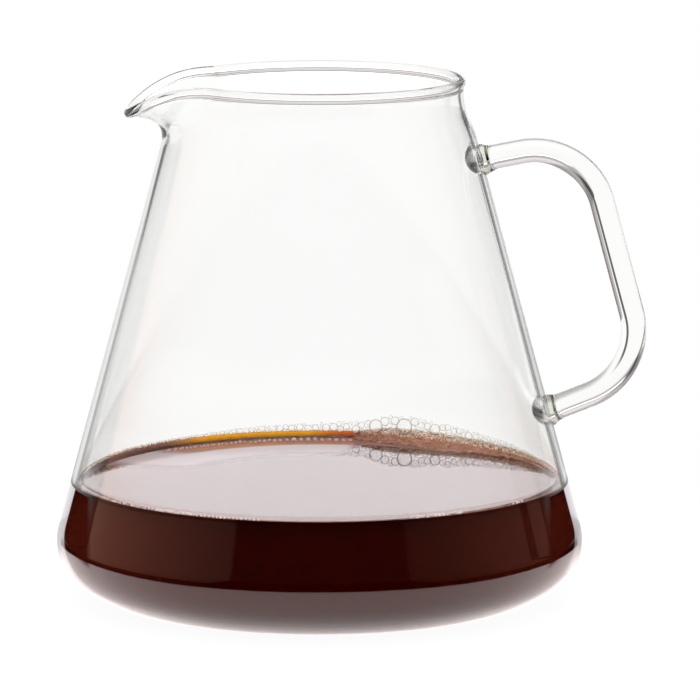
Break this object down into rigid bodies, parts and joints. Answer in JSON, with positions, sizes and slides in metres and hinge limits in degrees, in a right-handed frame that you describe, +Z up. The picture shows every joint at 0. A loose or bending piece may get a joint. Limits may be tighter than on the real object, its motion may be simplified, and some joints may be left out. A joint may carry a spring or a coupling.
{
  "type": "coffee server carafe",
  "caption": "Clear blown-glass coffee server: conical body on a rounded heel, beaded rim with a pulled spout, welded rod handle, part filled with black coffee under a raft of foam.",
  "frame": {"origin": "on the body's axis, on the plane that the base stands on", "axes": "+Z up, +X towards the handle, -X towards the spout"},
  "size_m": [0.168, 0.15, 0.1495],
  "materials": {
    "clear_glass": "clear, fire-polished",
    "coffee": "glossy dark liquid",
    "foam": "wet bubbles"
  },
  "bodies": {
    "root": {"base": "clear_glass", "body_wall": "clear_glass", "neck_rim": "clear_glass", "pouring_spout": "clear_glass", "handle_rod": "clear_glass", "upper_handle_weld": "clear_glass", "lower_handle_weld": "clear_glass", "coffee": "coffee", "foam": "foam"}
  },
  "joints": []
}
